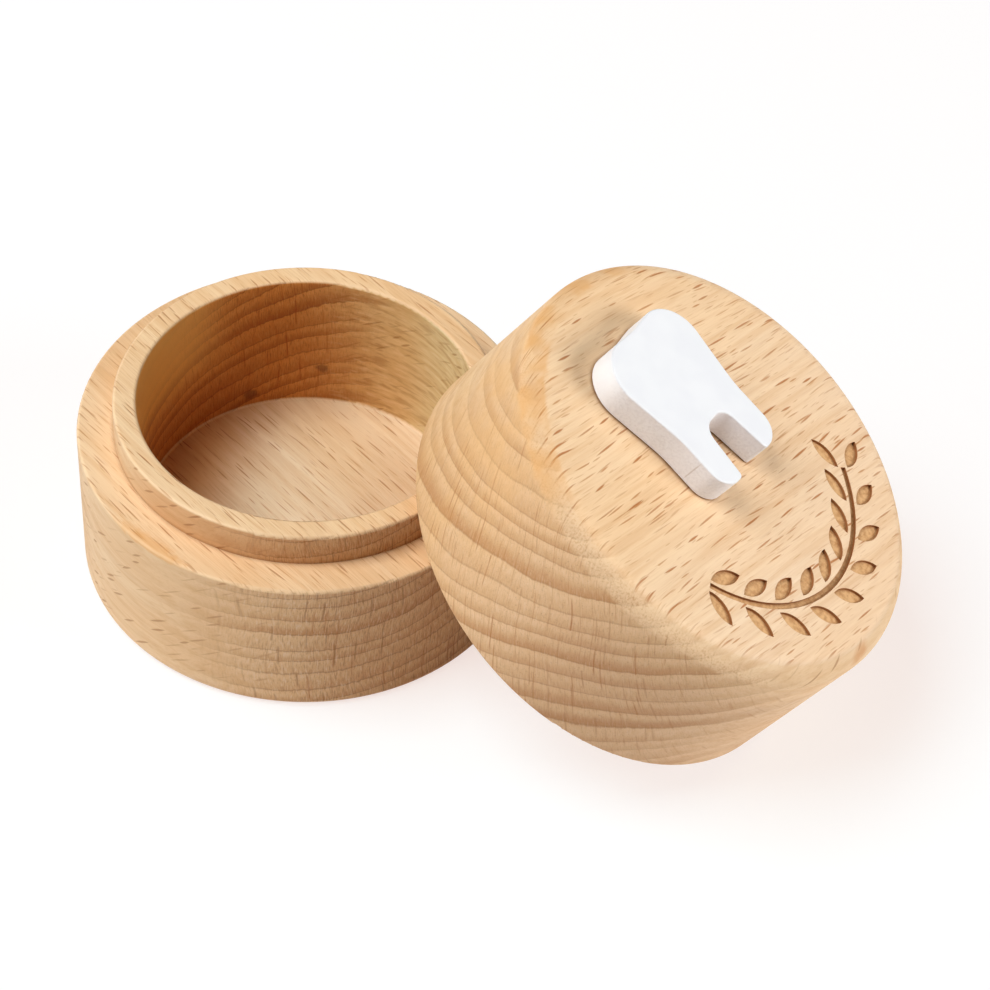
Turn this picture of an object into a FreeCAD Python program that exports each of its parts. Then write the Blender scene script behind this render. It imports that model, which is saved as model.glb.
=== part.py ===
import FreeCAD
import Part
import Sketcher
import os

# Turned beech box for milk teeth. The open base stands on the table and the lid, taken off, leans on it.
# Origin: centre of the base's flat foot, +Z up. The lid leans towards +X: its rim's lowest point rests on
# the table and its socket's edge passes just over the top edge of the base's spigot.

SIZES = [
    # Both turned pieces
    ("outer_diameter", 50.0),
    ("edge_round", 0.4),
    # Base: straight wall, a shoulder with a narrower spigot on it, round hollow
    ("base_height", 18.5),
    ("foot_round", 1.0),
    ("shoulder_width", 4.0),
    ("spigot_height", 4.0),
    ("spigot_wall", 2.6),
    ("floor_thickness", 4.0),
    # Lid: socket for the spigot at the rim, a hollow above it, a rounded top edge
    ("lid_height", 21.0),
    ("lid_taper", 0.3),
    ("lid_top_round", 2.5),
    ("lid_top_thickness", 6.5),
    ("socket_side_clearance", 0.2),
    ("socket_end_clearance", 0.2),
    # How the lid leans: its socket's edge passes just over the spigot's edge, this share of its radius uphill
    ("lean_contact_share", 0.86),
    ("lean_clearance", 0.3),
    ("lean_offset", 4.7),
    # Leaf sprig engraved along an arc on the lid's top
    ("sprig_margin", 8.0),
    ("sprig_start_angle", -84.0),
    ("sprig_sweep_angle", 120.0),
    ("stem_width", 0.7),
    ("leaf_length", 4.2),
    ("leaf_width", 1.7),
    ("leaf_lean_angle", 38.0),
    ("leaf_pairs", 9.0),
    ("engraving_depth", 0.35),
    # Tooth plaque: crown end at its own origin, roots towards its own +X
    ("tooth_length", 18.9),
    ("tooth_thickness", 3.4),
    ("crown_width", 17.2),
    ("crown_dip", 0.6),
    ("crown_round", 4.2),
    ("dip_round", 5.0),
    ("waist_distance", 11.8),
    ("waist_width", 12.7),
    ("waist_round", 12.0),
    ("root_span", 12.8),
    ("root_round", 2.6),
    ("root_tip_round", 0.5),
    ("slot_depth", 6.2),
    ("slot_mouth_width", 5.9),
    ("slot_end_width", 4.2),
    ("slot_round", 1.8),
    ("tooth_edge_round", 0.25),
    # Where the plaque's crown end lies on the lid's top, and how the plaque is turned
    ("crown_margin", 7.9),
    ("crown_offset", 4.2),
    ("tooth_turn_angle", -18.0),
    # Glue film under the plaque
    ("glue_thickness", 0.2),
    ("glue_inset", 0.7),
]

# The plaque's corner rounds are kept to these shares of the wood or the gap that they turn into
ROOT_ROUND_SHARE = 0.77
ROOT_TIP_ROUND_SHARE = 0.15
SLOT_ROUND_SHARE = 0.45
# Two places closer than this are the same place
SAME_PLACE = 0.001

doc = FreeCAD.newDocument("ToothBox")
sheet = doc.addObject("Spreadsheet::Sheet", "Sizes")
for row, (alias, value) in enumerate(SIZES, 1):
    sheet.set(f"A{row}", alias)
    sheet.set(f"B{row}", str(value))
    sheet.setAlias(f"B{row}", alias)
doc.recompute()

# Radii and heights that several features share, written in the sheet's sizes
OUTER_RADIUS = "Sizes.outer_diameter / 2"
SPIGOT_RADIUS = f"({OUTER_RADIUS} - Sizes.shoulder_width)"
CAVITY_RADIUS = f"({SPIGOT_RADIUS} - Sizes.spigot_wall)"
SHOULDER_HEIGHT = "Sizes.base_height"
MOUTH_HEIGHT = "(Sizes.base_height + Sizes.spigot_height)"
SOCKET_RADIUS = f"({SPIGOT_RADIUS} + Sizes.socket_side_clearance)"
SOCKET_DEPTH = "(Sizes.spigot_height + Sizes.socket_end_clearance)"
HOLLOW_DEPTH = "(Sizes.lid_height - Sizes.lid_top_thickness)"
LID_TOP_RADIUS = f"({OUTER_RADIUS} - Sizes.lid_taper)"
SPRIG_RADIUS = f"({LID_TOP_RADIUS} - Sizes.sprig_margin)"
ROOT_WIDTH = "((Sizes.root_span - Sizes.slot_mouth_width) / 2)"


def measure(expression):
    """The value of an expression in the sheet's sizes, in millimetres or degrees."""
    return float(sheet.evalExpression(expression.replace("Sizes.", "")))


def add_body(label):
    """A new empty body under its label."""
    body = doc.addObject("PartDesign::Body", label)
    body.Label = label
    return body


def origin_feature(body, role):
    """One of the body's own origin planes or axes."""
    return next(feature for feature in body.Origin.OriginFeatures if feature.Role == role)


def add_sketch(body, name, plane_role):
    """A sketch on one of the body's own origin planes."""
    sketch = body.newObject("Sketcher::SketchObject", name)
    sketch.AttachmentSupport = [(origin_feature(body, plane_role), "")]
    sketch.MapMode = "FlatFace"
    return sketch


def hold_point(sketch, line, end, across, along):
    """Hold a line's end at two bound distances from the sketch's origin; a distance of "0" is on the axis."""
    for kind, axis, expression in (("DistanceX", -2, across), ("DistanceY", -1, along)):
        if expression == "0":
            sketch.addConstraint(Sketcher.Constraint("PointOnObject", line, end, axis))
            continue
        index = sketch.addConstraint(Sketcher.Constraint(kind, -1, 1, line, end, measure(expression)))
        sketch.setExpression(f"Constraints[{index}]", expression)


def turn_about(x, y, z):
    """A turn about an axis; its angle is a stand-in that an expression replaces."""
    return FreeCAD.Rotation(FreeCAD.Vector(x, y, z), 1)


def draw_outline(sketch, corners):
    """A closed outline of straight lines through the corners; line n starts at corner n."""
    points = [FreeCAD.Vector(measure(across), measure(along), 0) for across, along in corners]
    spans = zip(points, points[1:] + points[:1])
    lines = [sketch.addGeometry(Part.LineSegment(start, end)) for start, end in spans]
    for line, following in zip(lines, lines[1:] + lines[:1]):
        sketch.addConstraint(Sketcher.Constraint("Coincident", line, 2, following, 1))
    return lines


def turn_profile(body, name, corners):
    """A solid of revolution about Z from a half profile of (radius, height) corners."""
    sketch = add_sketch(body, f"{name}_profile", "XZ_Plane")
    lines = draw_outline(sketch, corners)
    for line, (radius, height) in zip(lines, corners):
        hold_point(sketch, line, 1, radius, height)
    turning = body.newObject("PartDesign::Revolution", f"{name}_turning")
    turning.Profile = sketch
    turning.ReferenceAxis = (sketch, ["V_Axis"])
    turning.Angle = 360
    doc.recompute()


def is_circle(edge, radius, height):
    """Whether an edge is a circle about the piece's own axis of this radius, at this height."""
    if not isinstance(edge.Curve, Part.Circle):
        return False
    return abs(edge.Curve.Radius - radius) < SAME_PLACE and abs(edge.Curve.Center.z - height) < SAME_PLACE


def is_upright_at(edge, across, along):
    """Whether an edge stands upright over a place in the piece's own XY plane."""
    places = [(vertex.X, vertex.Y) for vertex in edge.Vertexes]
    return len(places) == 2 and all(
        abs(x - across) < SAME_PLACE and abs(y - along) < SAME_PLACE for x, y in places
    )


def round_edges(body, name, radius, chosen):
    """Round the edges of the body's latest feature that the test picks."""
    doc.recompute()
    last = body.Tip
    edges = [f"Edge{index}" for index, edge in enumerate(last.Shape.Edges, 1) if chosen(edge)]
    if not edges:
        raise ValueError(f"{name} finds no edge to round")
    fillet = body.newObject("PartDesign::Fillet", name)
    fillet.Base = (last, edges)
    fillet.setExpression("Radius", radius)
    doc.recompute()


def round_circles(body, name, radius, circles):
    """Round circular edges given as (radius, height) pairs of expressions."""
    places = [(measure(ring), measure(height)) for ring, height in circles]
    round_edges(body, name, radius, lambda edge: any(is_circle(edge, *place) for place in places))


def cut_checked(body, cut):
    """Recompute after a cut and make sure that it took material away."""
    before = cut.BaseFeature.Shape.Volume
    doc.recompute()
    if cut.Shape.isNull() or cut.Shape.Volume >= before:
        raise ValueError(f"{cut.Name} cuts nothing from {body.Label}")


def make_base():
    """The base: a turned cup with a straight wall, a shoulder and a spigot round its mouth."""
    body = add_body("base_box")
    turn_profile(body, "base", [
        ("0", "0"),
        (OUTER_RADIUS, "0"),
        (OUTER_RADIUS, SHOULDER_HEIGHT),
        (SPIGOT_RADIUS, SHOULDER_HEIGHT),
        (SPIGOT_RADIUS, MOUTH_HEIGHT),
        (CAVITY_RADIUS, MOUTH_HEIGHT),
        (CAVITY_RADIUS, "Sizes.floor_thickness"),
        ("0", "Sizes.floor_thickness"),
    ])
    round_circles(body, "foot_edge", "Sizes.foot_round", [(OUTER_RADIUS, "0")])
    round_circles(body, "base_edges", "Sizes.edge_round", [
        (OUTER_RADIUS, SHOULDER_HEIGHT),
        (SPIGOT_RADIUS, MOUTH_HEIGHT),
        (CAVITY_RADIUS, MOUTH_HEIGHT),
        (CAVITY_RADIUS, "Sizes.floor_thickness"),
    ])
    return body


def engrave_stem(body):
    """The sprig's stem: a shallow groove that runs part of the way round the lid's axis."""
    sketch = add_sketch(body, "stem_section", "XZ_Plane")
    inner = f"{SPRIG_RADIUS} - Sizes.stem_width / 2"
    outer = f"{SPRIG_RADIUS} + Sizes.stem_width / 2"
    low = "Sizes.lid_height - Sizes.engraving_depth"
    high = "Sizes.lid_height + Sizes.engraving_depth"
    corners = [(inner, low), (outer, low), (outer, high), (inner, high)]
    for line, (across, along) in zip(draw_outline(sketch, corners), corners):
        hold_point(sketch, line, 1, across, along)
    sketch.AttachmentOffset = FreeCAD.Placement(FreeCAD.Vector(), turn_about(0, 1, 0))
    sketch.setExpression("AttachmentOffset.Rotation.Angle", "Sizes.sprig_start_angle")
    stem = body.newObject("PartDesign::Groove", "stem_groove")
    stem.Profile = sketch
    stem.ReferenceAxis = (sketch, ["V_Axis"])
    stem.setExpression("Angle", "Sizes.sprig_sweep_angle")
    cut_checked(body, stem)


def draw_leaf(sketch, foot, tip):
    """One almond leaf: two equal arcs between its foot on the stem and its tip."""
    start = FreeCAD.Vector(measure(foot[0]), measure(foot[1]), 0)
    end = FreeCAD.Vector(measure(tip[0]), measure(tip[1]), 0)
    middle = (start + end) / 2
    sideways = FreeCAD.Vector(start.y - end.y, end.x - start.x, 0).normalize()
    belly = sideways * measure("Sizes.leaf_width / 2")
    near = sketch.addGeometry(Part.Arc(start, middle - belly, end))
    far = sketch.addGeometry(Part.Arc(end, middle + belly, start))
    near_ends = (1, 2) if sketch.getPoint(near, 1).isEqual(start, SAME_PLACE) else (2, 1)
    far_ends = (1, 2) if sketch.getPoint(far, 1).isEqual(end, SAME_PLACE) else (2, 1)
    sketch.addConstraint(Sketcher.Constraint("Coincident", near, near_ends[1], far, far_ends[0]))
    sketch.addConstraint(Sketcher.Constraint("Coincident", far, far_ends[1], near, near_ends[0]))
    hold_point(sketch, near, near_ends[0], *foot)
    hold_point(sketch, near, near_ends[1], *tip)
    bow = "Sizes.leaf_length ^ 2 / (4 * Sizes.leaf_width) + Sizes.leaf_width / 4"
    for arc in (near, far):
        index = sketch.addConstraint(Sketcher.Constraint("Radius", arc, measure(bow)))
        sketch.setExpression(f"Constraints[{index}]", bow)


def engrave_leaves(body):
    """Pairs of leaves along the stem, one leaf on each side of it, repeated round the lid's axis."""
    sketch = add_sketch(body, "leaf_pair", "XY_Plane")
    spread = "Sizes.leaf_length * sin(Sizes.leaf_lean_angle)"
    reach = "Sizes.leaf_length * cos(Sizes.leaf_lean_angle)"
    outer_foot = f"{SPRIG_RADIUS} + Sizes.stem_width"
    inner_foot = f"{SPRIG_RADIUS} - Sizes.stem_width"
    draw_leaf(sketch, (outer_foot, "0"), (f"{outer_foot} + {spread}", reach))
    draw_leaf(sketch, (inner_foot, "0"), (f"{inner_foot} - {spread}", reach))
    sketch.AttachmentOffset = FreeCAD.Placement(FreeCAD.Vector(), turn_about(0, 0, 1))
    sketch.setExpression("AttachmentOffset.Rotation.Angle", "Sizes.sprig_start_angle")
    sketch.setExpression("AttachmentOffset.Base.z", "Sizes.lid_height")
    leaves = body.newObject("PartDesign::Pocket", "leaf_pockets")
    leaves.Profile = sketch
    leaves.setExpression("Length", "Sizes.engraving_depth")
    cut_checked(body, leaves)
    pattern = body.newObject("PartDesign::PolarPattern", "leaf_pattern")
    pattern.Originals = [leaves]
    pattern.Axis = (origin_feature(body, "Z_Axis"), [""])
    pattern.setExpression("Angle", "Sizes.sprig_sweep_angle")
    pattern.setExpression("Occurrences", "Sizes.leaf_pairs")
    body.Tip = pattern
    doc.recompute()


def make_lid():
    """The lid: a turned cap with a socket for the spigot, standing tilted beside the base."""
    body = add_body("lid")
    turn_profile(body, "lid", [
        (SOCKET_RADIUS, "0"),
        (OUTER_RADIUS, "0"),
        (LID_TOP_RADIUS, "Sizes.lid_height"),
        ("0", "Sizes.lid_height"),
        ("0", HOLLOW_DEPTH),
        (CAVITY_RADIUS, HOLLOW_DEPTH),
        (CAVITY_RADIUS, SOCKET_DEPTH),
        (SOCKET_RADIUS, SOCKET_DEPTH),
    ])
    round_circles(body, "lid_top_edge", "Sizes.lid_top_round", [(LID_TOP_RADIUS, "Sizes.lid_height")])
    round_circles(body, "lid_rim_edges", "Sizes.edge_round", [(OUTER_RADIUS, "0"), (SOCKET_RADIUS, "0")])
    engrave_stem(body)
    engrave_leaves(body)
    lean_lid(body)
    return body


def lean_lid(body):
    """Tilt the lid towards +X, its rim on the table and its socket's edge just over the spigot's edge."""
    rim_reach = f"({OUTER_RADIUS} - Sizes.edge_round)"
    contact_uphill = f"({SOCKET_RADIUS} * Sizes.lean_contact_share)"
    contact_aside = f"({SOCKET_RADIUS} * sqrt(1 - Sizes.lean_contact_share ^ 2) - Sizes.lean_offset)"
    contact_forward = f"sqrt({SPIGOT_RADIUS} ^ 2 - {contact_aside} ^ 2)"
    contact_height = f"({MOUTH_HEIGHT} + Sizes.lean_clearance)"
    tilt = f"asin({contact_height} / ({rim_reach} + {contact_uphill}))"
    over_spigot = f"{contact_forward} + {contact_uphill} * cos({tilt})"
    shoulder_run = f"({SHOULDER_HEIGHT} + Sizes.lean_clearance) / tan({tilt})"
    over_shoulder = f"{OUTER_RADIUS} + {shoulder_run} - {rim_reach} * cos({tilt})"
    rim_rise = f"{rim_reach} * sin({tilt}) + Sizes.edge_round * (1 - cos({tilt}))"
    body.Placement.Rotation = turn_about(0, 1, 0)
    body.setExpression("Placement.Rotation.Angle", tilt)
    body.setExpression("Placement.Base.x", f"max({over_spigot}; {over_shoulder})")
    body.setExpression("Placement.Base.y", "-Sizes.lean_offset")
    body.setExpression("Placement.Base.z", rim_rise)
    doc.recompute()


def tooth_corners():
    """The plaque's corners on its upper half, from the dip in the crown round to the slot's end."""
    return {
        "crown": ("0", "Sizes.crown_width / 2"),
        "waist": ("Sizes.waist_distance", "Sizes.waist_width / 2"),
        "root": ("Sizes.tooth_length", "Sizes.root_span / 2"),
        "root_tip": ("Sizes.tooth_length", "Sizes.slot_mouth_width / 2"),
        "slot": ("Sizes.tooth_length - Sizes.slot_depth", "Sizes.slot_end_width / 2"),
    }


def make_tooth(lid):
    """The tooth plaque: a flat molar with two roots, sawn from thin board, on the lid's top."""
    body = add_body("tooth_plaque")
    sketch = add_sketch(body, "tooth_outline", "XY_Plane")
    upper = tooth_corners()
    mirrored = [(across, f"-{along}") for across, along in reversed(upper.values())]
    dip = ("Sizes.crown_dip", "0")
    lines = draw_outline(sketch, [dip, *upper.values(), *mirrored])
    hold_point(sketch, lines[0], 1, *dip)
    for line, corner in zip(lines[1:], upper.values()):
        hold_point(sketch, line, 1, *corner)
    for line, opposite in zip(lines[1:], reversed(lines)):
        if line < opposite:
            sketch.addConstraint(Sketcher.Constraint("Symmetric", line, 1, opposite, 1, -1))
    board = body.newObject("PartDesign::Pad", "tooth_board")
    board.Profile = sketch
    board.setExpression("Length", "Sizes.tooth_thickness")
    rounds = {
        "crown": "Sizes.crown_round",
        "waist": "Sizes.waist_round",
        "root": f"min(Sizes.root_round; {ROOT_ROUND_SHARE} * {ROOT_WIDTH})",
        "root_tip": f"min(Sizes.root_tip_round; {ROOT_TIP_ROUND_SHARE} * {ROOT_WIDTH})",
        "slot": f"min(Sizes.slot_round; {SLOT_ROUND_SHARE} * Sizes.slot_end_width)",
    }
    for corner, radius in rounds.items():
        across, along = (measure(expression) for expression in upper[corner])
        round_edges(body, f"{corner}_rounds", radius, lambda edge: (
            is_upright_at(edge, across, along) or is_upright_at(edge, across, -along)
        ))
    round_edges(body, "dip_rounds", "Sizes.dip_round", lambda edge: is_upright_at(edge, measure(dip[0]), 0))
    face_height = measure("Sizes.tooth_thickness")
    round_edges(body, "tooth_edges", "Sizes.tooth_edge_round", lambda edge: all(
        abs(vertex.Z - face_height) < SAME_PLACE for vertex in edge.Vertexes
    ))
    uphill = f"Sizes.crown_margin - {LID_TOP_RADIUS}"
    seat = f"vector({uphill}; Sizes.crown_offset; Sizes.lid_height + Sizes.glue_thickness)"
    turn = "rotation(vector(0; 0; 1); Sizes.tooth_turn_angle)"
    body.setExpression("Placement", f"{lid.Name}.Placement * placement({seat}; {turn})")
    doc.recompute()
    return body


def make_glue(tooth):
    """The glue film: follows the plaque's outline, a little inside its edge, between plaque and lid."""
    foot = next(face for face in tooth.Tip.Shape.Faces if face.CenterOfMass.z < SAME_PLACE)
    film_face = foot.makeOffset2D(-measure("Sizes.glue_inset"))
    film = doc.addObject("Part::Feature", "glue_film")
    film.Label = "glue_film"
    film.Shape = film_face.extrude(FreeCAD.Vector(0, 0, -measure("Sizes.glue_thickness")))
    film.Placement = tooth.Placement
    return film


base_box = make_base()
lid = make_lid()
tooth_plaque = make_tooth(lid)
glue_film = make_glue(tooth_plaque)
doc.recompute()

for item in doc.Objects:
    if "Invalid" in item.State or "Error" in item.State:
        raise ValueError(f"{item.Label} failed to recompute: {item.State}")

pieces = [base_box, lid, tooth_plaque, glue_film]
for piece in pieces:
    if piece.Shape.isNull() or not piece.Shape.isValid() or len(piece.Shape.Solids) != 1:
        raise ValueError(f"{piece.Label} is not one valid solid")

os.makedirs("parts", exist_ok=True)
for piece in pieces:
    piece.Shape.exportStep(f"parts/{piece.Label}.step")
    print(piece.Label, round(piece.Shape.Volume), "mm3", piece.Shape.BoundBox)
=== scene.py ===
import math
from typing import NamedTuple

import bpy
from mathutils import Matrix, Vector

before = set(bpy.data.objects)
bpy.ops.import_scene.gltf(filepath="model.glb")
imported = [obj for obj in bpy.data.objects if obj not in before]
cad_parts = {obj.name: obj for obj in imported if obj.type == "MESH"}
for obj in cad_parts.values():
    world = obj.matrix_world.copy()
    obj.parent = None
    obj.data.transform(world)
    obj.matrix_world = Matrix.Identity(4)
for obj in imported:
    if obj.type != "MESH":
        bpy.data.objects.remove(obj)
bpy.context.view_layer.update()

# Looks of a turned beech box for milk teeth. Both turned pieces are cut from a solid wood: its growth
# rings, rays and fibres fill the block in three dimensions, so that tops, walls and end grain each show
# their own cut of it. Sizes of wood and marks are in millimetres, what is placed in the scene in metres.

MM = 0.001
AHEAD = Vector((1.0, 0.0, 0.0))
ASIDE = Vector((0.0, 1.0, 0.0))
UP = Vector((0.0, 0.0, 1.0))
WHITE = (1.0, 1.0, 1.0, 1.0)

# The turned pieces, as they stand in the frame
SHOULDER_HEIGHT = 18.5
SPIGOT_HEIGHT = 22.5
FLOOR_HEIGHT = 4.0
LID_TILT = math.radians(32.162)
LID_MIDDLE = Vector((35.523, -4.7, 13.156)) * MM
LID_SLOPE = AHEAD * math.cos(LID_TILT) - UP * math.sin(LID_TILT)
LID_AXIS = AHEAD * math.sin(LID_TILT) + UP * math.cos(LID_TILT)
LID_WAYS = (LID_SLOPE, ASIDE, LID_AXIS)
LID_HEIGHT = 21.0
LID_TOP_ROUND = 2.5


def srgb(red, green, blue):
    """A colour in shader values, from 0 to 255 screen values."""
    shares = [value / 255 for value in (red, green, blue)]
    return (*[s / 12.92 if s <= 0.04045 else ((s + 0.055) / 1.055) ** 2.4 for s in shares], 1.0)


def factor(red, green, blue):
    """A tone that another colour is multiplied with."""
    return (red, green, blue, 1.0)


def turned_from(angle, start, side):
    """A direction in the plane of two others, turned in degrees from the first towards the second."""
    return start * math.cos(math.radians(angle)) + side * math.sin(math.radians(angle))


class RayKind(NamedTuple):
    """A kind of ray: its cells' start and spacing, its least and most height and width, and its tone."""

    shift: tuple
    cell: tuple
    heights: tuple
    widths: tuple
    share: float
    tone: tuple


BOLD_RAYS = RayKind(
    shift=(0.0, 0.0, 0.0),
    cell=(6.2, 1.05, 5.0),
    heights=(2.0, 4.2),
    widths=(0.13, 0.21),
    share=0.88,
    tone=srgb(176, 104, 42),
)
SLIM_RAYS = RayKind(
    shift=(11.3, 5.1, 3.7),
    cell=(5.6, 0.8, 4.6),
    heights=(1.6, 3.6),
    widths=(0.1, 0.16),
    share=0.75,
    tone=srgb(186, 117, 54),
)
FINE_RAYS = RayKind(
    shift=(5.7, 2.9, 8.3),
    cell=(3.4, 0.45, 3.0),
    heights=(1.0, 2.2),
    widths=(0.07, 0.11),
    share=0.4,
    tone=srgb(194, 136, 76),
)
FLAT_RAYS = RayKind(
    shift=(0.0, 0.0, 0.0),
    cell=(4.8, 1.4, 6.0),
    heights=(1.4, 3.2),
    widths=(0.18, 0.34),
    share=0.65,
    tone=srgb(176, 116, 64),
)
BASE_TICKS = RayKind(
    shift=(2.1, 7.7, 1.3),
    cell=(6.0, 1.9, 3.6),
    heights=(6.0, 7.0),
    widths=(0.13, 0.22),
    share=0.7,
    tone=srgb(150, 100, 58),
)
LID_TICKS = BASE_TICKS._replace(share=0.35, tone=srgb(164, 108, 60))
FLAT_RAY_ANGLE = 35.0
RAY_LEAN = 0.05


class Block(NamedTuple):
    """How a turned piece lies in its log: its middle and axis, its fibres, its rings and its tones."""

    middle: Vector
    axis: Vector
    fibre: Vector
    radial: Vector
    pith_distance: float
    pith_offset: float
    ring_width: float
    ring_jag: float
    line_share: float
    torn_share: float
    fleck_share: float
    ticks: RayKind
    pale: tuple
    warm: tuple
    end_tone: tuple


LID_FIBRE = turned_from(62.8, LID_SLOPE, ASIDE)
LID_BLOCK = Block(
    middle=LID_MIDDLE,
    axis=LID_AXIS,
    fibre=LID_FIBRE,
    radial=turned_from(37.0, LID_AXIS, LID_AXIS.cross(LID_FIBRE)),
    pith_distance=115.0,
    pith_offset=0.0,
    ring_width=2.1,
    ring_jag=0.22,
    line_share=0.25,
    torn_share=0.3,
    fleck_share=1.0,
    ticks=LID_TICKS,
    pale=srgb(249, 218, 178),
    warm=srgb(246, 209, 164),
    end_tone=srgb(236, 193, 145),
)
BASE_BLOCK = Block(
    middle=Vector((0.0, 0.0, 0.0)),
    axis=UP,
    fibre=turned_from(-34.0, AHEAD, ASIDE),
    radial=UP,
    pith_distance=100.0,
    pith_offset=-24.0,
    ring_width=2.1,
    ring_jag=0.5,
    line_share=0.55,
    torn_share=0.75,
    fleck_share=0.72,
    ticks=BASE_TICKS,
    pale=srgb(248, 216, 174),
    warm=srgb(240, 199, 151),
    end_tone=srgb(229, 186, 138),
)

# Sizes of the wood's patterns along the fibres, along the rings and across the rings
SWAY_GRAIN = (26.0, 11.0, 11.0)
RING_WANDER_GRAIN = (60.0, 16.0, 14.0)
RING_JAG_GRAIN = (1.2, 0.5, 2.4)
FIBRE_GRAIN = (5.0, 0.16, 0.16)
STREAK_GRAIN = (16.0, 0.75, 0.75)
BROAD_GRAIN = (45.0, 9.0, 9.0)
PORE_GRAIN = (0.9, 0.2, 0.2)
TORN_GRAIN = (0.6, 0.1, 0.9)
RIPPLE_GRAIN = (3.2, 2.0, 0.55)
RIPPLE_SHIFT = (3.0, 4.0, 9.0)
BRICK_GRAIN = (3.0, 0.7, 0.27)

# How far the patterns leave their even places; the rings' spacing follows noise along one row
SWAY = 1.0
RING_UNEVENNESS = 2.8
RING_WANDER = 2.6
RING_ROW = (7.3, 1.9)
RING_ROW_GRAIN = (5.0, 1.0, 1.0)

# Tones and finish of the plain wood
STREAK_TONE = srgb(222, 172, 116)
FIBRE_TONE = srgb(206, 156, 104)
LATE_TONE = srgb(192, 132, 76)
RING_LINE_TONE = srgb(150, 98, 56)
TORN_PALE_TONE = srgb(238, 214, 184)
TORN_DARK_TONE = srgb(172, 126, 86)
PORE_TONE = srgb(160, 114, 74)
# Faces other than the ring faces are darker: partly the darker side and end grain, partly painted shade
# on the sides
SIDE_TONE_AND_SHADE = factor(0.86, 0.86, 0.86)
# Painted contact shade: a brown laid where other surfaces lie close, in corners and along joins
CONTACT_SHADE_TONE = srgb(140, 82, 36)
CONTACT_SHADE_REACH = 1.0
WOOD_RELIEF = 0.04
WOOD_SHINE = 0.3

# Tones of the base's own marks, and of the light and shade painted on its hollow, floor, outer wall and
# spigot top
HOLLOW_SIDE_SHADE_TONE = factor(1.03, 1.0, 0.76)
HOLLOW_END_SHADE_TONE = factor(1.0, 0.62, 0.25)
HOLLOW_LATE_TONE = srgb(150, 80, 24)
RIPPLE_DARK_TONE = srgb(170, 108, 52)
RIPPLE_PALE_TONE = srgb(246, 212, 160)
GOLDEN_WALL_LIGHT_TONE = srgb(244, 190, 108)
DEEP_WALL_SHADE_TONE = factor(0.8, 0.72, 0.74)
PALE_WALL_LIGHT_TONE = factor(1.0, 1.2, 1.42)
RED_SIDE_SHADE_TONE = factor(0.92, 0.77, 0.64)
FLOOR_MIDDLE_LIGHT_TONE = factor(1.02, 1.18, 1.36)
FLOOR_RIGHT_LIGHT_TONE = factor(0.89, 0.98, 1.14)
FLOOR_LEFT_SHADE_TONE = factor(0.75, 0.55, 0.37)
SPIGOT_TOP_LIGHT_TONE = factor(1.04, 1.04, 1.02)
KNOT_TONE = srgb(96, 46, 16)
BASE_STAIN_TONE = srgb(228, 162, 84)
ROUNDED_EDGE_PALE_TONE = srgb(248, 220, 180)

# Where these tones begin and where they are full: radii, heights, and places along +X
HOLLOW_RADII = (20.0, 19.0)
OUTER_RADII = (19.6, 20.4)
GOLDEN_WALL_HEIGHTS = (9.0, 18.0)
GOLDEN_WALL_PLACES = (-12.0, -18.3)
DEEP_WALL_HEIGHTS = (14.0, 6.0)
DEEP_WALL_PLACES = (-7.0, -14.0)
PALE_WALL_PLACES = (5.0, 12.0)
RED_SIDE_PLACES = (2.0, 20.0)
RED_SPIGOT_PLACES = (-18.0, -9.0)
FLOOR_RIGHT_PLACES = (-1.0, 11.0)
FLOOR_LEFT_PLACES = (-5.0, -15.0)

# Each knot's place on the hollow's wall with its half size, and the stain on the shoulder
KNOTS = (((-3.5, 18.1, 9.0), 0.9), ((-11.2, 14.6, 5.7), 1.1))
BASE_STAIN_PLACE = (-10.6, -22.4, SHOULDER_HEIGHT)
BASE_STAIN_ANGLE = -26.0
BASE_STAIN_SIZES = (7.5, 1.6, 0.8)

# Tones of the lid's own marks, and of the light and shade painted on its foot, top and uphill side
LID_FOOT_SHADE_TONE = factor(0.89, 0.85, 0.84)
LID_TOP_LIGHT_TONE = factor(1.01, 1.05, 1.16)
FRAYED_PALE_TONE = srgb(240, 208, 168)
FRAYED_DARK_TONE = srgb(206, 160, 112)
GOLDEN_SIDE_LIGHT_TONE = srgb(236, 190, 138)
GOLDEN_SIDE_LIGHT_FACTOR = factor(1.0, 0.97, 0.87)
LID_STAIN_TONE = srgb(228, 166, 94)
PATCH_TONE = srgb(206, 146, 92)
BURN_PALE_TONE = srgb(228, 180, 124)
BURN_DARK_TONE = srgb(196, 142, 88)
BURN_WALL_TONE = srgb(158, 102, 54)

# Where these begin and where they are full: heights along the lid's axis, and places up its slope
LID_FOOT_HEIGHTS = (19.0, 12.0)
LID_FOOT_PLACES = (14.0, 2.0)
LID_TOP_PLACES = (12.0, -14.0)
GOLDEN_SIDE_HEIGHTS = (6.0, 16.0)
GOLDEN_SIDE_PLACES = (12.0, 23.0)
LID_STAIN_PLACES = (14.0, 20.0)
ENGRAVED_RADII = (21.6, 21.4)
PATCH_PLACE = (64.6, -16.6, 19.6)
PATCH_SIZES = (1.3, 2.4, 2.0)

# The tooth's paint, greyer on its sawn sides partly as painted shade, and the crack in its side
FACE_TONES = (srgb(247, 248, 250), srgb(243, 244, 247))
SAWN_TONES_AND_SHADE = (srgb(238, 237, 240), srgb(226, 224, 227))
SAWN_CLOUD_TONE = srgb(232, 229, 231)
CRACK_TONE = srgb(190, 178, 172)
CRACK_PLACE = LID_MIDDLE / MM + LID_SLOPE * -4.6 + ASIDE * -6.15 + LID_AXIS * 22.9
CRACK_SIZES = (0.12, 1.2, 2.0)
PAINT_RELIEF = 0.06
PAINT_SHINE = 0.35

GLUE_TONES = (srgb(196, 168, 122), srgb(132, 98, 60))
GLUE_RELIEF = 0.05
GLUE_SHINE = 0.5

SPOT_GRAIN = 0.9
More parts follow.
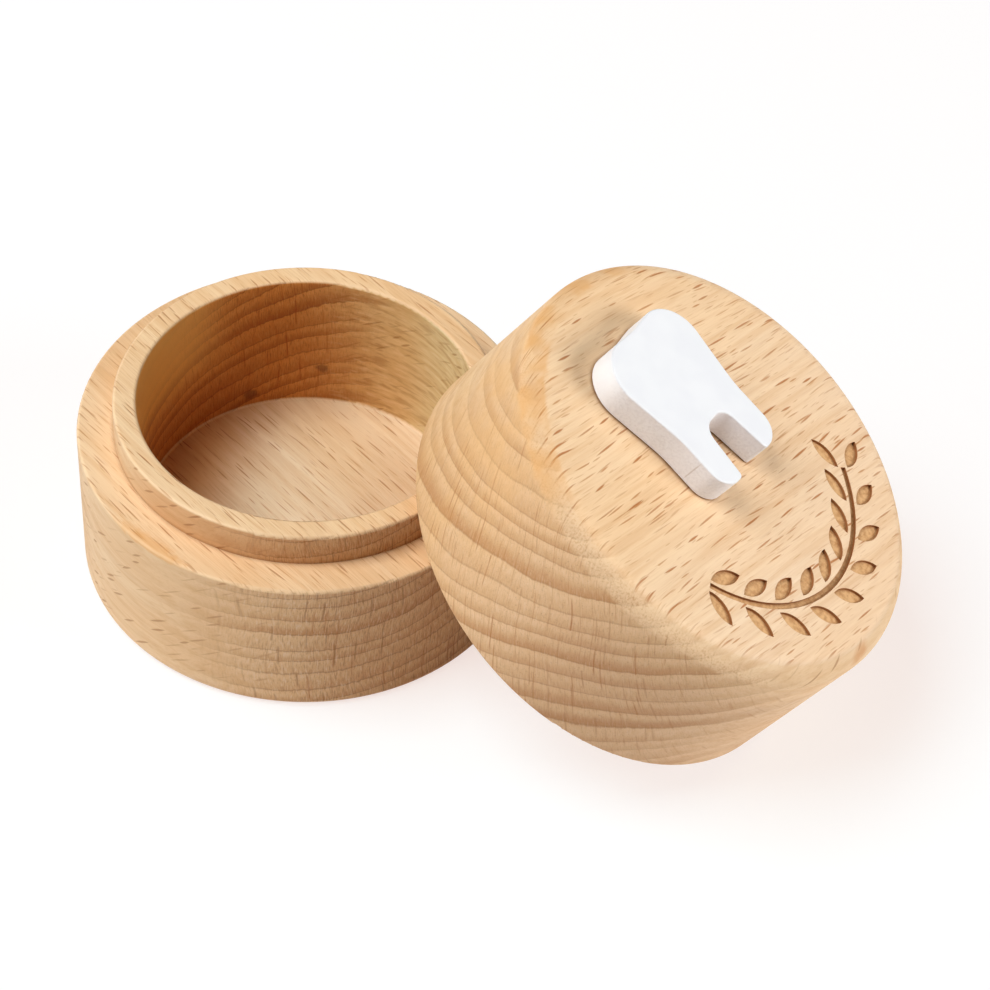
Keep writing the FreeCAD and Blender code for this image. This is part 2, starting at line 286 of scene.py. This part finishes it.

# The table: the tone that lights the box, and what the eye sees: a share that shade takes away, a share
# that stays, tinted warm near the box as a painted warm glow in its shade, and the distances over which
# both turn plain white
TABLE_TONE = (0.98, 0.97, 0.965, 1.0)
TABLE_SHADED_SHARE = (0.19, 0.31, 0.35, 1.0)
TABLE_STEADY_WARM_GLOW = (0.83, 0.71, 0.67, 1.0)
TABLE_FADE = (0.12, 0.4)
TABLE_REACH = 2.0
TABLE_LEVEL = -0.02 * MM

LIT_POINT = Vector((0.02, 0.0, 0.015))
ROOM_LIGHT = 0.05

# The camera's place and directions, fitted to the rims in the photograph
CAMERA_PLACE = (0.063288, -0.213246, 0.241244)
CAMERA_RIGHT = Vector((0.96859, 0.24347, 0.05067))
CAMERA_DOWN = Vector((0.21050, -0.69418, -0.68834))
CAMERA_AHEAD = Vector((-0.13242, 0.67738, -0.72362))
CAMERA_LENS = 104.16
CAMERA_SENSOR = 36.0
CAMERA_NEAREST = 0.01


class Paint:
    """A material in the making. Each call adds a node and gives back the output that it is wanted for."""

    def __init__(self, name):
        self.material = bpy.data.materials.new(name)
        self.material.use_nodes = True
        self.tree = self.material.node_tree
        self.tree.nodes.clear()
        source = self.add("ShaderNodeTexCoord")
        self.place = source.outputs["Object"]
        self.normal = source.outputs["Normal"]

    def add(self, kind, inputs=(), **settings):
        """A new node; inputs pair its sockets with plain values or with other nodes' outputs."""
        node = self.tree.nodes.new(kind)
        for name, value in settings.items():
            setattr(node, name, value)
        for socket, value in dict(inputs).items():
            if isinstance(value, bpy.types.NodeSocket):
                self.tree.links.new(value, node.inputs[socket])
            else:
                node.inputs[socket].default_value = value
        return node

    def maths(self, operation, *values):
        """A sum, product or other function of numbers."""
        return self.add("ShaderNodeMath", enumerate(values), operation=operation).outputs[0]

    def product(self, *values):
        """All the numbers multiplied."""
        result = values[0]
        for value in values[1:]:
            result = self.maths("MULTIPLY", result, value)
        return result

    def vectors(self, operation, *values):
        """A function of vectors that gives a vector."""
        return self.add("ShaderNodeVectorMath", enumerate(values), operation=operation).outputs["Vector"]

    def along(self, vector, direction):
        """How far a vector reaches in a direction."""
        node = self.add("ShaderNodeVectorMath", enumerate((vector, direction)), operation="DOT_PRODUCT")
        return node.outputs["Value"]

    def facing(self, direction):
        """How squarely the surface lies across a direction, from 0 to 1."""
        return self.maths("ABSOLUTE", self.along(self.normal, direction))

    def length(self, vector):
        """A vector's length."""
        return self.add("ShaderNodeVectorMath", {0: vector}, operation="LENGTH").outputs["Value"]

    def join(self, *parts):
        """A vector from its three numbers."""
        return self.add("ShaderNodeCombineXYZ", enumerate(parts)).outputs[0]

    def split(self, vector):
        """A vector's three numbers."""
        return list(self.add("ShaderNodeSeparateXYZ", {0: vector}).outputs)

    def from_point(self, point):
        """The place in millimetres from a point in metres."""
        return self.vectors("DIVIDE", self.vectors("SUBTRACT", self.place, point), (MM, MM, MM))

    def ramp(self, value, low, high, start=0.0, end=1.0):
        """A smooth step from start at low to end at high."""
        sockets = {"Value": value, "From Min": low, "From Max": high, "To Min": start, "To Max": end}
        return self.add("ShaderNodeMapRange", sockets, interpolation_type="SMOOTHSTEP").outputs["Result"]

    def noise(self, place, grain, detail=2.0):
        """Smooth noise from 0 to 1; grain is its size each way."""
        sockets = {"Vector": self.vectors("DIVIDE", place, grain), "Scale": 1.0, "Detail": detail}
        return self.add("ShaderNodeTexNoise", sockets).outputs[0]

    def even_noise(self, place, grain, detail=2.0):
        """Smooth noise of the same size each way."""
        return self.noise(place, (grain, grain, grain), detail)

    def tint(self, share, under, over, blend="MIX"):
        """One colour laid over another, as far as the share says."""
        sockets = {0: share, 6: under, 7: over}
        return self.add("ShaderNodeMix", sockets, data_type="RGBA", blend_type=blend).outputs[2]

    def times(self, share, colour, tone):
        """A colour multiplied with a tone, as far as the share says."""
        return self.tint(share, colour, tone, "MULTIPLY")

    def spot(self, centre, ways, half_sizes, edge=0.5):
        """A soft ragged spot about a place in millimetres, of a half size each way."""
        offset = self.from_point(Vector(centre) * MM)
        shares = [self.along(offset, way / half) for way, half in zip(ways, half_sizes)]
        ragged = self.even_noise(offset, SPOT_GRAIN)
        distance = self.maths("MULTIPLY_ADD", ragged, edge, self.length(self.join(*shares)))
        return self.ramp(distance, 0.4 + edge / 2, 1.0 + edge / 2, 1.0, 0.0)

    def finish(self, colour, roughness, height, relief, shine):
        """The surface itself: colour and roughness from nodes, and a relief of so many millimetres."""
        bump = self.add("ShaderNodeBump", {"Height": height, "Strength": 1.0, "Distance": relief * MM})
        sockets = {"Base Color": colour, "Roughness": roughness, "Normal": bump.outputs[0]}
        sockets["Specular IOR Level"] = shine
        shader = self.add("ShaderNodeBsdfPrincipled", sockets)
        self.add("ShaderNodeOutputMaterial", {"Surface": shader.outputs[0]})
        return self.material


def block_place(paint, block):
    """Places in the block: along the fibres, across them along the rings, and across the rings."""
    from_middle = paint.from_point(block.middle)
    ways = (block.fibre, block.radial.cross(block.fibre), block.radial)
    straight = paint.join(*[paint.along(from_middle, way) for way in ways])
    waves = paint.noise(straight, SWAY_GRAIN, detail=1.0)
    sway = paint.maths("MULTIPLY_ADD", waves, 2 * SWAY, -SWAY)
    return paint.vectors("ADD", straight, paint.join(0.0, sway, 0.0))


def growth_rings(paint, wood, block):
    """A ring's latewood, which rises to its outer edge, the dark line there, and the ring's number."""
    _, across, radial = paint.split(wood)
    deep = paint.maths("SUBTRACT", block.pith_distance, radial)
    aside = paint.maths("SUBTRACT", across, block.pith_offset)
    radius = paint.length(paint.join(deep, aside, 0.0))
    uneven = paint.noise(paint.join(radius, *RING_ROW), RING_ROW_GRAIN, detail=1.0)
    wander = paint.noise(wood, RING_WANDER_GRAIN)
    jag = paint.noise(wood, RING_JAG_GRAIN, detail=3.0)
    place = paint.maths("MULTIPLY_ADD", uneven, RING_UNEVENNESS, radius)
    place = paint.maths("MULTIPLY_ADD", wander, RING_WANDER, place)
    place = paint.maths("MULTIPLY_ADD", jag, block.ring_jag, place)
    count = paint.maths("DIVIDE", place, block.ring_width)
    share = paint.maths("FRACT", count)
    number = paint.maths("FLOOR", count)
    chance = paint.add("ShaderNodeTexWhiteNoise", {"W": number}, noise_dimensions="1D").outputs["Value"]
    rise = paint.ramp(share, 0.1, 0.85)
    fall = paint.ramp(share, 0.9, 1.0, 1.0, 0.0)
    late = paint.product(rise, fall, paint.ramp(chance, 0.0, 1.0, 0.35, 1.0))
    line = paint.product(paint.ramp(share, 0.84, 0.93), paint.ramp(share, 0.93, 1.0, 1.0, 0.0))
    return late, line, number


def rays(paint, wood, kind):
    """Ribbons across the rings, cut by a face into slim spindles along the fibres: 1 in one, 0 off it."""
    spread = paint.vectors("DIVIDE", paint.vectors("ADD", wood, kind.shift), kind.cell)
    cells = paint.add("ShaderNodeTexVoronoi", {"Vector": spread, "Scale": 1.0, "Randomness": 0.8})
    from_seed = paint.vectors("SUBTRACT", spread, cells.outputs["Position"])
    along, across, radial = paint.split(paint.vectors("MULTIPLY", from_seed, kind.cell))
    size, slant, strength = paint.split(cells.outputs["Color"])
    half_height = paint.ramp(size, 0.0, 1.0, *[height / 2 for height in kind.heights])
    half_width = paint.ramp(strength, 0.0, 1.0, *[width / 2 for width in kind.widths])
    lean = paint.maths("MULTIPLY_ADD", slant, 2 * RAY_LEAN, -RAY_LEAN)
    aside = paint.maths("ABSOLUTE", paint.maths("MULTIPLY_ADD", along, lean, across))
    reached = paint.maths("DIVIDE", along, half_height)
    taper = paint.maths("SUBTRACT", 1.0, paint.maths("MULTIPLY", reached, reached))
    inside = paint.maths("SUBTRACT", taper, paint.maths("DIVIDE", aside, half_width))
    depth = kind.cell[2]
    reach = paint.ramp(paint.maths("ABSOLUTE", radial), 0.3 * depth, 0.5 * depth, 1.0, 0.0)
    return paint.product(paint.ramp(inside, -0.3, 0.6), reach, paint.ramp(strength, 0.0, 0.9, 0.4, 1.0))


class Figure(NamedTuple):
    """What a face shows of the wood: its share of end grain, the latewood, dark ticks and ripples."""

    end_grain: object
    late: object
    ticks: object
    ripples: object


def beech(name, block, marks):
    """Sanded beech cut from its block; marks lays the piece's own marks, with its painted light and
    shade, over the plain wood's colour.
    """
    paint = Paint(name)
    wood = block_place(paint, block)
    along, across, _ = paint.split(wood)
    end_cut = paint.facing(block.fibre)
    end_grain = paint.ramp(end_cut, 0.3, 0.9)
    ring_face = paint.ramp(paint.facing(block.radial), 0.4, 0.8)
    ray_face = paint.ramp(paint.facing(block.radial.cross(block.fibre)), 0.6, 0.95)

    # Patterns that fill the block
    late, ring_line, ring_number = growth_rings(paint, wood, block)
    bold_rays = rays(paint, wood, BOLD_RAYS)
    slim_rays = rays(paint, wood, SLIM_RAYS)
    fine_rays = rays(paint, wood, FINE_RAYS)
    end_ticks = rays(paint, wood, block.ticks)
    flat_ways = [turned_from(FLAT_RAY_ANGLE + turn, AHEAD, UP) for turn in (0.0, 90.0)] + [ASIDE]
    flat_wood = paint.join(*[paint.along(wood, way) for way in flat_ways])
    flat_rays = rays(paint, flat_wood, FLAT_RAYS)
    fibres = paint.noise(wood, FIBRE_GRAIN, detail=3.0)
    streaks = paint.noise(wood, STREAK_GRAIN)
    broad = paint.noise(wood, BROAD_GRAIN)
    pores = paint.noise(wood, PORE_GRAIN)
    torn = paint.noise(wood, TORN_GRAIN)
    ripples = paint.noise(paint.vectors("ADD", wood, RIPPLE_SHIFT), RIPPLE_GRAIN)
    bricks = paint.noise(paint.join(along, across, ring_number), BRICK_GRAIN, detail=1.0)

    # Colours: the plain wood, its end grain, its rays, the piece's own marks with its painted light and
    # shade, and painted shade along the lines of contact
    colour = paint.tint(paint.ramp(broad, 0.3, 0.7), block.pale, block.warm)
    colour = paint.tint(paint.ramp(streaks, 0.4, 0.7, 0.0, 0.36), colour, STREAK_TONE)
    colour = paint.tint(paint.ramp(fibres, 0.45, 0.8, 0.0, 0.26), colour, FIBRE_TONE)
    colour = paint.tint(paint.product(end_grain, 0.7), colour, block.end_tone)
    late_share = paint.ramp(end_cut, 0.2, 0.8, 0.12, 0.72)
    colour = paint.tint(paint.product(late, late_share), colour, LATE_TONE)
    colour = paint.tint(paint.product(ring_line, end_grain, block.line_share), colour, RING_LINE_TONE)
    rough_ends = paint.product(end_grain, block.torn_share)
    colour = paint.tint(paint.product(rough_ends, paint.ramp(torn, 0.5, 0.75)), colour, TORN_PALE_TONE)
    colour = paint.tint(paint.product(rough_ends, paint.ramp(torn, 0.5, 0.25)), colour, TORN_DARK_TONE)
    colour = paint.tint(paint.product(end_grain, paint.ramp(pores, 0.55, 0.8), 0.35), colour, PORE_TONE)
    flecked = paint.product(ring_face, block.fleck_share)
    bricked = paint.product(end_grain, paint.ramp(bricks, 0.3, 0.5), 0.7)
    cut_share = paint.maths("MAXIMUM", flecked, bricked)
    layers = (
        (FLAT_RAYS, flat_rays, ray_face),
        (FINE_RAYS, fine_rays, ring_face),
        (SLIM_RAYS, slim_rays, cut_share),
        (BOLD_RAYS, bold_rays, cut_share),
    )
    for kind, pattern, shown in layers:
        colour = paint.tint(paint.product(pattern, shown, kind.share), colour, kind.tone)
    # Sides darker than the ring faces: partly the grain's own tone, partly painted shade
    colour = paint.times(paint.ramp(ring_face, 0.0, 1.0, 1.0, 0.0), colour, SIDE_TONE_AND_SHADE)
    figure = Figure(end_grain, late, paint.product(end_ticks, end_grain), ripples)
    colour = marks(paint, colour, block, figure)
    # Painted contact shade: ambient occlusion darkens the colour where surfaces lie close together
    painted_contact_shade = paint.add("ShaderNodeAmbientOcclusion", {"Distance": CONTACT_SHADE_REACH * MM}, samples=8)
    colour = paint.tint(paint.ramp(painted_contact_shade.outputs["AO"], 0.35, 0.8, 0.6, 0.0), colour, CONTACT_SHADE_TONE)

    # Relief: rays and ring lines lie a little low, torn end grain stands up
    height = paint.maths("MULTIPLY_ADD", paint.product(bold_rays, ring_face), -0.8, fibres)
    height = paint.maths("MULTIPLY_ADD", paint.product(torn, end_grain), 0.9, height)
    height = paint.maths("MULTIPLY_ADD", paint.product(ring_line, end_grain), -0.5, height)
    dullness = paint.maths("MULTIPLY_ADD", end_grain, 0.12, 0.5)
    roughness = paint.maths("MULTIPLY_ADD", fibres, 0.18, dullness)
    return paint.finish(colour, roughness, height, WOOD_RELIEF, WOOD_SHINE)


class BaseFaces(NamedTuple):
    """Where a place on the base is, which way it faces, and its shares of hollow wall and outer wall."""

    across: object
    up: object
    level: object
    hollow: object
    outer: object


def hollow_marks(paint, colour, faces, figure):
    """The hollow's wall: painted shade makes it deep orange, most on end grain, with rippled sides;
    painted light makes it golden high at the left and pale at the right; painted shade deepens it low at
    the left.
    """
    across, up, _, hollow, _ = faces
    # Painted shade: the hollow's wall tinted deep orange, most on its end grain
    painted_shade_wall_tone = paint.tint(figure.end_grain, HOLLOW_SIDE_SHADE_TONE, HOLLOW_END_SHADE_TONE)
    colour = paint.times(hollow, colour, painted_shade_wall_tone)
    banded = paint.product(hollow, figure.late, figure.end_grain, 0.45)
    colour = paint.tint(banded, colour, HOLLOW_LATE_TONE)
    rippled = paint.product(hollow, paint.ramp(figure.end_grain, 0.2, 0.9, 1.0, 0.0))
    dark = paint.product(rippled, paint.ramp(figure.ripples, 0.5, 0.68), 0.4)
    colour = paint.tint(dark, colour, RIPPLE_DARK_TONE)
    light = paint.product(rippled, paint.ramp(figure.ripples, 0.46, 0.32), 0.35)
    colour = paint.tint(light, colour, RIPPLE_PALE_TONE)
    # Painted light: the upper left wall made golden and brighter
    golden_tone_and_light = paint.product(paint.ramp(up, *GOLDEN_WALL_HEIGHTS), paint.ramp(across, *GOLDEN_WALL_PLACES))
    colour = paint.tint(paint.product(hollow, golden_tone_and_light, 0.9), colour, GOLDEN_WALL_LIGHT_TONE)
    # Painted shade: the wall darker low on the left
    deep = paint.product(paint.ramp(up, *DEEP_WALL_HEIGHTS), paint.ramp(across, *DEEP_WALL_PLACES))
    colour = paint.times(paint.product(hollow, deep), colour, DEEP_WALL_SHADE_TONE)
    # Painted light: the right wall made paler, as if lit
    pale = paint.ramp(across, *PALE_WALL_PLACES)
    return paint.times(paint.product(hollow, pale), colour, PALE_WALL_LIGHT_TONE)


def outer_marks(paint, colour, faces, figure):
    """The outer wall: painted shade makes it redder and darker to the right by the lid and on the spigot,
    with dark ticks on the end grain.
    """
    # Painted shade: redder and darker towards the lid and on the spigot's wall
    on_spigot = paint.ramp(faces.up, SHOULDER_HEIGHT - 0.1, SHOULDER_HEIGHT + 0.1)
    spigot = paint.product(on_spigot, paint.ramp(faces.across, *RED_SPIGOT_PLACES))
    painted_shade_reddened = paint.maths("MAXIMUM", paint.ramp(faces.across, *RED_SIDE_PLACES), spigot)
    colour = paint.times(paint.product(faces.outer, painted_shade_reddened), colour, RED_SIDE_SHADE_TONE)
    ticked = paint.product(faces.outer, figure.ticks, BASE_TICKS.share)
    return paint.tint(ticked, colour, BASE_TICKS.tone)


def level_marks(paint, colour, faces):
    """The hollow's floor, paler in the middle and a little less to the right with painted light, browner
    to the left with painted shade, and the spigot's top made paler with painted light.
    """
    facing_up = paint.ramp(faces.level, 0.5, 0.9)
    low = paint.ramp(faces.up, FLOOR_HEIGHT + 1.0, FLOOR_HEIGHT + 2.0, 1.0, 0.0)
    # Painted light and shade on the floor: paler where lit, browner where the left wall shades it
    tone = paint.tint(paint.ramp(faces.across, *FLOOR_RIGHT_PLACES), FLOOR_MIDDLE_LIGHT_TONE, FLOOR_RIGHT_LIGHT_TONE)
    tone = paint.tint(paint.ramp(faces.across, *FLOOR_LEFT_PLACES), tone, FLOOR_LEFT_SHADE_TONE)
    colour = paint.times(paint.product(low, facing_up), colour, tone)
    # Painted light: the spigot's top made paler
    high = paint.ramp(faces.up, SPIGOT_HEIGHT - 0.5, SPIGOT_HEIGHT - 0.1)
    return paint.times(paint.product(high, facing_up), colour, SPIGOT_TOP_LIGHT_TONE)


def base_marks(paint, colour, block, figure):
    """The base's marks: painted light and shade on its faces, two knots in the hollow, a stain, and paler
    rounded edges.
    """
    across, side, up = paint.split(paint.from_point(block.middle))
    radius = paint.length(paint.join(across, side, 0.0))
    level = paint.along(paint.normal, block.axis)
    upright = paint.ramp(paint.facing(block.axis), 0.3, 0.8, 1.0, 0.0)
    hollow = paint.product(upright, paint.ramp(radius, *HOLLOW_RADII))
    outer = paint.product(upright, paint.ramp(radius, *OUTER_RADII))
    faces = BaseFaces(across, up, level, hollow, outer)
    colour = hollow_marks(paint, colour, faces, figure)
    colour = outer_marks(paint, colour, faces, figure)
    colour = level_marks(paint, colour, faces)
    for centre, half_size in KNOTS:
        knot = paint.spot(centre, (AHEAD, ASIDE, UP), [half_size] * 3, edge=1.2)
        colour = paint.tint(paint.product(knot, 0.6), colour, KNOT_TONE)
    stain_way = turned_from(BASE_STAIN_ANGLE, AHEAD, ASIDE)
    stain_ways = (stain_way, UP.cross(stain_way), UP)
    stain = paint.spot(BASE_STAIN_PLACE, stain_ways, BASE_STAIN_SIZES, edge=0.8)
    colour = paint.tint(paint.product(stain, 0.5), colour, BASE_STAIN_TONE)
    # Paler where the surface rounds over from a level face to an upright one
    squared = paint.product(level, level)
    rounded = paint.product(squared, paint.maths("SUBTRACT", 1.0, squared), 4.0)
    return paint.tint(paint.ramp(rounded, 0.2, 0.8, 0.0, 0.22), colour, ROUNDED_EDGE_PALE_TONE)


class LidFaces(NamedTuple):
    """Where a place on the lid is, and how level the surface is there."""

    place: object
    height: object
    uphill: object
    level: object


def lid_edge_marks(paint, colour, faces, figure):
    """The round top edge: frayed and pale on end grain, stained uphill, where the side is golden too, in
    blotches of uneven tone with painted light that is brightest high up.
    """
    place, height, uphill, level = faces
    lowered = paint.maths("SUBTRACT", height, 0.7)
    ragged = paint.maths("MULTIPLY_ADD", paint.even_noise(place, 1.3), 1.4, lowered)
    frayed_level = paint.maths("MULTIPLY_ADD", paint.even_noise(place, 1.6, detail=3.0), 0.07, level)
    round_start = LID_HEIGHT - LID_TOP_ROUND
    above = paint.ramp(ragged, round_start, round_start + 0.9)
    rounded = paint.product(above, paint.ramp(frayed_level, 0.97, 1.03, 1.0, 0.0))
    fuzz = paint.even_noise(place, 0.22, detail=3.0)
    frayed = paint.product(rounded, paint.ramp(figure.end_grain, 0.05, 0.5))
    pale = paint.product(frayed, paint.ramp(fuzz, 0.3, 0.62, 0.15, 0.6))
    colour = paint.tint(pale, colour, FRAYED_PALE_TONE)
    dark = paint.product(frayed, paint.ramp(fuzz, 0.44, 0.3, 0.0, 0.35))
    colour = paint.tint(dark, colour, FRAYED_DARK_TONE)
    blotch = paint.even_noise(place, 4.0)
    # Painted light, with uneven blotches: the uphill side made golden and brighter high up
    side = paint.product(paint.ramp(uphill, *GOLDEN_SIDE_PLACES), paint.ramp(level, 0.5, 0.98, 1.0, 0.0))
    golden_tone_and_light = paint.product(side, paint.ramp(blotch, 0.3, 0.65, 0.4, 1.0))
    upper_painted_light = paint.product(golden_tone_and_light, paint.ramp(height, *GOLDEN_SIDE_HEIGHTS, 0.1, 0.35))
    colour = paint.tint(upper_painted_light, colour, GOLDEN_SIDE_LIGHT_TONE)
    colour = paint.times(golden_tone_and_light, colour, GOLDEN_SIDE_LIGHT_FACTOR)
    stain = paint.product(paint.ramp(uphill, *LID_STAIN_PLACES), paint.ramp(blotch, 0.35, 0.6, 0.1, 0.55))
    return paint.tint(paint.product(rounded, stain), colour, LID_STAIN_TONE)


def engraving_marks(paint, colour, faces):
    """The engraved sprig: browned floors and darker walls, just under the lid's top."""
    place, height, uphill, level = faces
    radius = paint.length(paint.join(uphill, paint.along(place, ASIDE), 0.0))
    sunk = paint.product(
        paint.ramp(height, LID_HEIGHT - 0.06, LID_HEIGHT - 0.02, 1.0, 0.0),
        paint.ramp(radius, *ENGRAVED_RADII),
        paint.ramp(height, LID_HEIGHT - 2.0, LID_HEIGHT - 1.5),
    )
    char = paint.even_noise(place, 0.5, detail=3.0)
    burn = paint.tint(paint.ramp(char, 0.35, 0.7), BURN_PALE_TONE, BURN_DARK_TONE)
    burn = paint.tint(paint.ramp(level, 0.4, 0.9, 1.0, 0.0), burn, BURN_WALL_TONE)
    return paint.tint(paint.product(sunk, 0.9), colour, burn)


def lid_marks(paint, colour, block, figure):
    """The lid's marks: painted shade that browns its foot, painted light that pales its top downhill, its
    round edge and the engraving.
    """
    place = paint.from_point(block.middle)
    height = paint.along(place, block.axis)
    uphill = paint.along(place, -LID_SLOPE)
    faces = LidFaces(place, height, uphill, paint.facing(block.axis))
    colour = paint.tint(paint.product(figure.ticks, LID_TICKS.share), colour, LID_TICKS.tone)
    # Painted shade: the low part of the lid's side made browner
    painted_shade_foot = paint.product(paint.ramp(height, *LID_FOOT_HEIGHTS), paint.ramp(uphill, *LID_FOOT_PLACES))
    colour = paint.times(painted_shade_foot, colour, LID_FOOT_SHADE_TONE)
    # Painted light: the lid's top made paler downhill
    top = paint.ramp(height, LID_HEIGHT - 0.3, LID_HEIGHT - 0.1)
    painted_light_downhill_top = paint.product(top, paint.ramp(uphill, *LID_TOP_PLACES))
    colour = paint.times(painted_light_downhill_top, colour, LID_TOP_LIGHT_TONE)
    colour = lid_edge_marks(paint, colour, faces, figure)
    patch = paint.spot(PATCH_PLACE, LID_WAYS, PATCH_SIZES)
    colour = paint.tint(paint.product(patch, 0.7), colour, PATCH_TONE)
    return engraving_marks(paint, colour, faces)


def white_paint():
    """White paint on a sawn wooden tooth: even on its face, grainy and greyer on its other sawn sides,
    partly painted shade, and as white as the face where they face uphill, painted light.
    """
    paint = Paint("white_paint")
    place = paint.from_point(LID_MIDDLE)
    face = paint.ramp(paint.along(paint.normal, LID_AXIS), 0.3, 0.85)
    grain = paint.even_noise(place, 0.3, detail=4.0)
    cloud = paint.even_noise(place, 4.0)
    # The sawn sides' greyer tones are partly the paint's own, partly painted shade
    sides_tone_and_shade = paint.tint(paint.ramp(grain, 0.35, 0.75), *SAWN_TONES_AND_SHADE)
    sides_tone_and_shade = paint.tint(paint.ramp(cloud, 0.35, 0.65, 0.0, 0.5), sides_tone_and_shade, SAWN_CLOUD_TONE)
    crack = paint.spot(CRACK_PLACE, LID_WAYS, CRACK_SIZES, edge=0.6)
    sides_tone_and_shade = paint.tint(paint.product(crack, 0.6), sides_tone_and_shade, CRACK_TONE)
    even = paint.tint(paint.ramp(cloud, 0.3, 0.7), *FACE_TONES)
    # Painted light: sides that face uphill, towards the light, take the face's white
    painted_light_uphill = paint.ramp(paint.along(paint.normal, -LID_SLOPE), 0.3, 0.75)
    colour = paint.tint(paint.maths("MAXIMUM", face, painted_light_uphill), sides_tone_and_shade, even)
    height = paint.product(grain, paint.ramp(face, 0.0, 1.0, 1.0, 0.1))
    roughness = paint.maths("MULTIPLY_ADD", cloud, 0.15, 0.42)
    return paint.finish(colour, roughness, height, PAINT_RELIEF, PAINT_SHINE)


def dried_glue():
    """Dried wood glue: a dull yellowish brown film with thin and thick places."""
    paint = Paint("wood_glue")
    lumps = paint.even_noise(paint.from_point(LID_MIDDLE), 1.2, detail=3.0)
    colour = paint.tint(lumps, *GLUE_TONES)
    roughness = paint.maths("MULTIPLY_ADD", lumps, 0.2, 0.35)
    return paint.finish(colour, roughness, lumps, GLUE_RELIEF, GLUE_SHINE)


def dress(node, material):
    """Give a CAD node its material."""
    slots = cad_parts[node].data.materials
    slots.clear()
    slots.append(material)


def seen_rays(tree):
    """1 for rays that come from the eye, straight or by way of gloss or glass, 0 for the others."""
    path = tree.nodes.new("ShaderNodeLightPath")
    seen = path.outputs["Is Camera Ray"]
    for ray in ("Is Glossy Ray", "Is Transmission Ray"):
        either = tree.nodes.new("ShaderNodeMath")
        either.operation = "MAXIMUM"
        tree.links.new(seen, either.inputs[0])
        tree.links.new(path.outputs[ray], either.inputs[1])
        seen = either.outputs[0]
    return seen


def white_table():
    """A white table top. To the eye its shade is faint and warm, the warmth a painted glow near the box,
    and it turns plain white further off.
    """
    paint = Paint("white_table")
    table = paint.add("ShaderNodeBsdfDiffuse", {"Color": TABLE_TONE})
    shaded = paint.add("ShaderNodeBsdfDiffuse", {"Color": TABLE_SHADED_SHARE})
    steady = paint.add("ShaderNodeEmission", {"Color": TABLE_STEADY_WARM_GLOW, "Strength": 1.0})
    near = paint.add("ShaderNodeAddShader", {0: shaded.outputs[0], 1: steady.outputs[0]})
    far = paint.add("ShaderNodeEmission", {"Color": WHITE, "Strength": 1.0})
    away = paint.ramp(paint.length(paint.place), *TABLE_FADE)
    view = paint.add("ShaderNodeMixShader", {0: away, 1: near.outputs[0], 2: far.outputs[0]})
    sockets = {0: seen_rays(paint.tree), 1: table.outputs[0], 2: view.outputs[0]}
    surface = paint.add("ShaderNodeMixShader", sockets)
    paint.add("ShaderNodeOutputMaterial", {"Surface": surface.outputs[0]})
    mesh = bpy.data.meshes.new("table_top")
    turns = ((-1, -1), (1, -1), (1, 1), (-1, 1))
    corners = [(x * TABLE_REACH, y * TABLE_REACH, TABLE_LEVEL) for x, y in turns]
    mesh.from_pydata(corners, [], [range(len(corners))])
    floor = bpy.data.objects.new("table_top", mesh)
    bpy.context.scene.collection.objects.link(floor)
    mesh.materials.append(paint.material)


def soft_lamp(name, place, size, power):
    """A large square lamp that faces the box."""
    lamp = bpy.data.lights.new(name, "AREA")
    lamp.size = size
    lamp.energy = power
    holder = bpy.data.objects.new(name, lamp)
    holder.location = place
    holder.visible_camera = False
    holder.rotation_mode = "QUATERNION"
    holder.rotation_quaternion = (LIT_POINT - Vector(place)).to_track_quat("-Z", "Y")
    bpy.context.scene.collection.objects.link(holder)


def white_room():
    """White surroundings: a dim even light on the box, plain white where they are seen."""
    world = bpy.data.worlds.new("white_room")
    world.use_nodes = True
    tree = world.node_tree
    tree.nodes.clear()
    mix = tree.nodes.new("ShaderNodeMixShader")
    tree.links.new(seen_rays(tree), mix.inputs[0])
    for socket, strength in ((1, ROOM_LIGHT), (2, 1.0)):
        background = tree.nodes.new("ShaderNodeBackground")
        background.inputs["Color"].default_value = WHITE
        background.inputs["Strength"].default_value = strength
        tree.links.new(background.outputs[0], mix.inputs[socket])
    output = tree.nodes.new("ShaderNodeOutputWorld")
    tree.links.new(mix.outputs[0], output.inputs["Surface"])
    bpy.context.scene.world = world


def photo_camera():
    """The photograph's viewpoint."""
    data = bpy.data.cameras.new("camera")
    data.sensor_width = CAMERA_SENSOR
    data.lens = CAMERA_LENS
    data.clip_start = CAMERA_NEAREST
    camera = bpy.data.objects.new("camera", data)
    turn = Matrix((CAMERA_RIGHT, -CAMERA_DOWN, -CAMERA_AHEAD)).transposed()
    camera.matrix_world = Matrix.Translation(CAMERA_PLACE) @ turn.to_4x4()
    bpy.context.scene.collection.objects.link(camera)
    bpy.context.scene.camera = camera


dress("base_box", beech("beech_base", BASE_BLOCK, base_marks))
dress("lid", beech("beech_lid", LID_BLOCK, lid_marks))
dress("tooth_plaque", white_paint())
dress("glue_film", dried_glue())

white_table()
soft_lamp("high_left_lamp", place=(-0.397, -0.185, 0.899), size=0.6, power=8.25)
soft_lamp("low_front_lamp", place=(-0.74, -0.52, 0.42), size=0.6, power=2.6)
soft_lamp("low_right_lamp", place=(0.97, 0.0, 0.26), size=0.5, power=6.75)
white_room()
photo_camera()
bpy.context.scene.view_settings.view_transform = "Standard"
